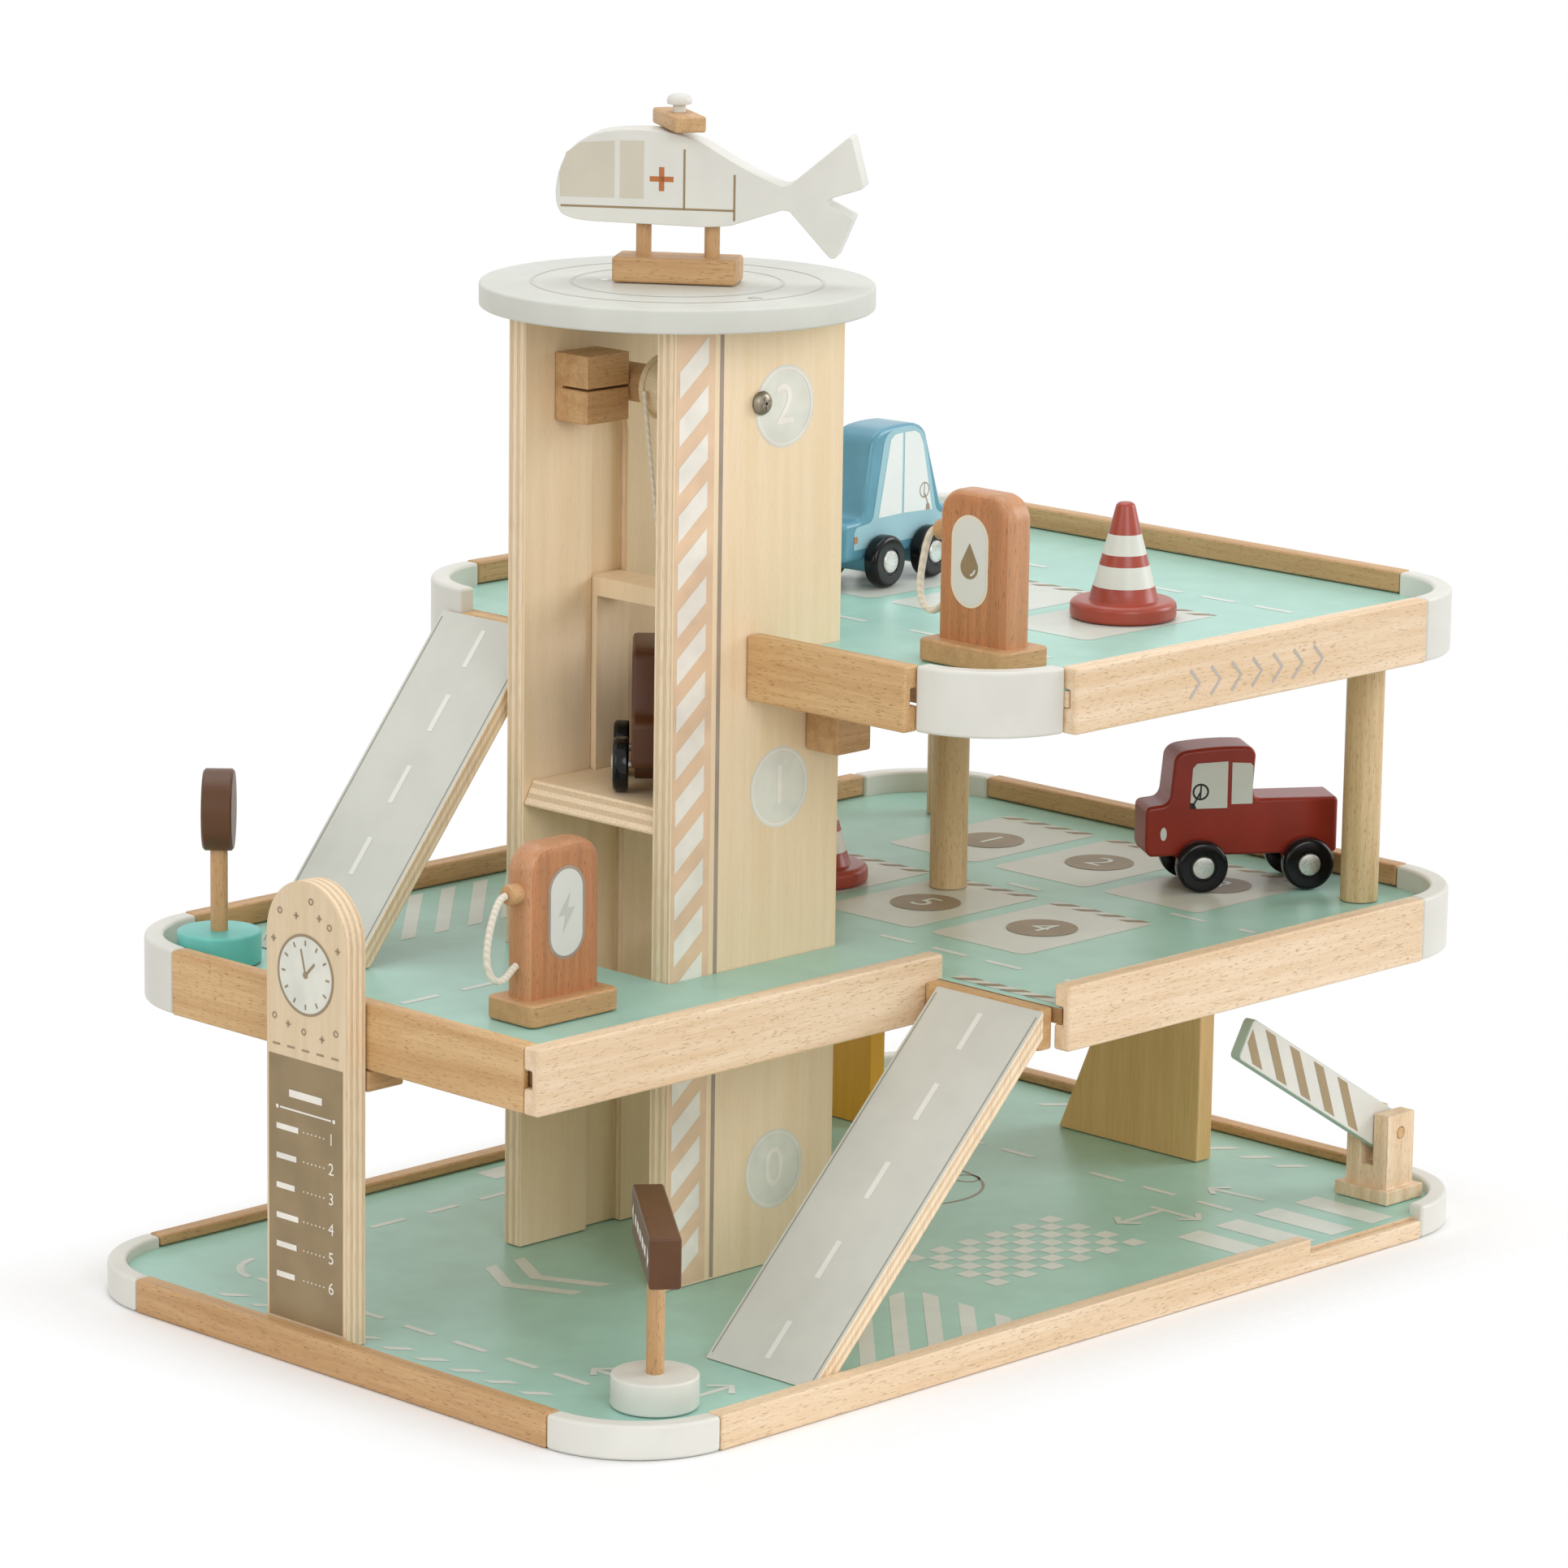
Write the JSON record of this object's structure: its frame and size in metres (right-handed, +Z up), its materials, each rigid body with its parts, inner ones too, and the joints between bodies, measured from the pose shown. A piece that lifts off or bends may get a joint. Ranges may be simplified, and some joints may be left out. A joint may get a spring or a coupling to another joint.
{
  "type": "toy parking garage",
  "caption": "Wooden toy parking garage on several floors, with ramps, a winch lift in a slotted tower, a helipad, toy cars, a helicopter, pumps, signs, cones and a barrier.",
  "frame": {"origin": "middle of the base on the surface that it stands on", "axes": "+X along the long front to the right, +Y from the front to the back, +Z up"},
  "size_m": [0.48, 0.312, 0.4544],
  "materials": {
    "beech": "sanded and oiled",
    "birch_ply": "sanded plywood",
    "white_paint": "painted, satin",
    "mint_paint": "printed and lacquered, satin",
    "grey_paint": "printed and lacquered, satin",
    "brown_paint": "painted, satin",
    "red_paint": "painted, satin",
    "blue_paint": "painted, satin",
    "cone_paint": "painted, satin",
    "stained_beech": "stained and lacquered",
    "black_tyre": "glossy",
    "screw_steel": "zinc plated",
    "cotton_cord": "braided cotton"
  },
  "bodies": {
    "building": {"ground_floor": "mint_paint", "ground_front_rail": "beech", "ground_back_rail": "beech", "ground_left_rail": "beech", "ground_right_rail": "beech", "middle_deck": "mint_paint", "middle_left_rail": "beech", "middle_front_left_rail": "beech", "middle_front_right_rail": "beech", "middle_ramp_rail": "beech", "middle_right_rail": "beech", "middle_back_rail": "beech", "upper_deck": "mint_paint", "upper_left_rail": "beech", "upper_front_rail": "beech", "upper_right_rail": "beech", "upper_back_rail": "beech", "upper_ramp_rail": "beech", "tower_front_wall": "birch_ply", "tower_rear_wall": "birch_ply", "helipad": "white_paint", "shaft_brake_block": "beech", "deck_post_front_middle": "birch_ply", "deck_post_front_right": "birch_ply", "deck_post_back_right": "birch_ply", "right_support_panel": "birch_ply", "back_support_panel": "birch_ply", "upper_deck_block": "beech", "board_block": "beech", "lower_ramp": "grey_paint", "upper_ramp": "grey_paint", "price_board": "birch_ply", "lift_cord": "cotton_cord"},
    "lift": {"lift_floor": "birch_ply", "lift_frame": "birch_ply"},
    "winder": {"winding_shaft": "beech", "shaft_screw": "screw_steel", "lift_crank": "beech"},
    "pickup": {"pickup_body": "red_paint"},
    "pickup_front_axle": {"pickup_front_wheels": "black_tyre"},
    "pickup_rear_axle": {"pickup_rear_wheels": "black_tyre"},
    "blue_car": {"blue_car_body": "blue_paint"},
    "blue_car_front_axle": {"blue_car_front_wheels": "black_tyre"},
    "blue_car_rear_axle": {"blue_car_rear_wheels": "black_tyre"},
    "brown_car": {"brown_car_body": "brown_paint"},
    "brown_car_front_axle": {"brown_car_front_wheels": "black_tyre"},
    "brown_car_rear_axle": {"brown_car_rear_wheels": "black_tyre"},
    "upper_cone_body": {"upper_cone": "cone_paint"},
    "middle_cone_body": {"middle_cone": "cone_paint"},
    "round_sign_body": {"round_sign": "brown_paint"},
    "long_sign_body": {"long_sign": "brown_paint"},
    "middle_pump_body": {"middle_pump": "stained_beech", "middle_pump_rope": "cotton_cord"},
    "upper_pump_body": {"upper_pump": "stained_beech", "upper_pump_rope": "cotton_cord"},
    "barrier": {"barrier_post": "beech"},
    "arm": {"barrier_arm": "white_paint"},
    "helicopter": {"helicopter_body": "white_paint", "helicopter_stand": "beech"},
    "helicopter_rotor": {"rotor": "beech"}
  },
  "joints": [
    {"name": "lift_slide", "type": "slide", "parent": "building", "child": "lift", "axis": [0, 0, 1], "range_m": [-0.175, 0.0545], "deforming": ["lift_cord"]},
    {"name": "winder_spin", "type": "hinge", "parent": "building", "child": "winder", "pos_m": [-0.05, 0, 0.3435], "axis": [0, 1, 0], "range_deg": [-797, 249]},
    {"name": "brown_car_roll", "type": "slide", "parent": "lift", "child": "brown_car", "axis": [0.7071, 0.7071, 0], "range_m": [-0.002, 0.002]},
    {"name": "brown_front_spin", "type": "hinge", "parent": "brown_car", "child": "brown_car_front_axle", "pos_m": [-0.06971, 0.00679, 0.2037], "axis": [-0.7071, 0.7071, 0], "range_deg": [-12, 12]},
    {"name": "brown_rear_spin", "type": "hinge", "parent": "brown_car", "child": "brown_car_rear_axle", "pos_m": [-0.04829, 0.02821, 0.2037], "axis": [-0.7071, 0.7071, 0], "range_deg": [-12, 12]},
    {"name": "pickup_roll", "type": "slide", "parent": "building", "child": "pickup", "axis": [0.8221, -0.5693, 0], "range_m": [-0.05, 0.002]},
    {"name": "pickup_front_spin", "type": "hinge", "parent": "pickup", "child": "pickup_front_axle", "pos_m": [0.17386, -0.05135, 0.1392], "axis": [0.5693, 0.8221, 0], "range_deg": [-276, 12]},
    {"name": "pickup_rear_spin", "type": "hinge", "parent": "pickup", "child": "pickup_rear_axle", "pos_m": [0.20954, -0.07605, 0.1392], "axis": [0.5693, 0.8221, 0], "range_deg": [-276, 12]},
    {"name": "blue_car_roll", "type": "slide", "parent": "building", "child": "blue_car", "axis": [0.9934, 0.1149, 0], "range_m": [-0.04, 0.08]},
    {"name": "blue_front_spin", "type": "hinge", "parent": "blue_car", "child": "blue_car_front_axle", "pos_m": [0.11505, 0.05524, 0.2582], "axis": [-0.1149, 0.9934, 0], "range_deg": [-221, 441]},
    {"name": "blue_rear_spin", "type": "hinge", "parent": "blue_car", "child": "blue_car_rear_axle", "pos_m": [0.08495, 0.05176, 0.2582], "axis": [-0.1149, 0.9934, 0], "range_deg": [-221, 441]},
    {"name": "upper_cone_lift", "type": "slide", "parent": "building", "child": "upper_cone_body", "axis": [0, 0, 1], "range_m": [0, 0.06]},
    {"name": "middle_cone_lift", "type": "slide", "parent": "building", "child": "middle_cone_body", "axis": [0, 0, 1], "range_m": [0, 0.05]},
    {"name": "round_sign_lift", "type": "slide", "parent": "building", "child": "round_sign_body", "axis": [0, 0, 1], "range_m": [0, 0.06]},
    {"name": "long_sign_lift", "type": "slide", "parent": "building", "child": "long_sign_body", "axis": [0, 0, 1], "range_m": [0, 0.06]},
    {"name": "middle_pump_lift", "type": "slide", "parent": "building", "child": "middle_pump_body", "axis": [0, 0, 1], "range_m": [0, 0.06]},
    {"name": "upper_pump_lift", "type": "slide", "parent": "building", "child": "upper_pump_body", "axis": [0, 0, 1], "range_m": [0, 0.06]},
    {"name": "barrier_shift", "type": "slide", "parent": "building", "child": "barrier", "axis": [-1, 0, 0], "range_m": [0, 0.06]},
    {"name": "arm_tip", "type": "hinge", "parent": "barrier", "child": "arm", "pos_m": [0.2082, -0.1239, 0.0364], "axis": [0, 1, 0], "range_deg": [-31, 18]},
    {"name": "helicopter_lift", "type": "slide", "parent": "building", "child": "helicopter", "axis": [0, 0, 1], "range_m": [0, 0.06]},
    {"name": "rotor_spin", "type": "hinge", "parent": "helicopter", "child": "helicopter_rotor", "pos_m": [-0.05, 0.01875, 0.43], "axis": [0, 0, 1], "continuous": true}
  ],
  "couplings": [
    {"joint": "winder_spin", "follows": "lift_slide", "rad_per_m": 79.365},
    {"joint": "brown_front_spin", "follows": "brown_car_roll", "rad_per_m": 96.154},
    {"joint": "brown_rear_spin", "follows": "brown_car_roll", "rad_per_m": 96.154},
    {"joint": "pickup_front_spin", "follows": "pickup_roll", "rad_per_m": 96.154},
    {"joint": "pickup_rear_spin", "follows": "pickup_roll", "rad_per_m": 96.154},
    {"joint": "blue_front_spin", "follows": "blue_car_roll", "rad_per_m": 96.154},
    {"joint": "blue_rear_spin", "follows": "blue_car_roll", "rad_per_m": 96.154}
  ]
}
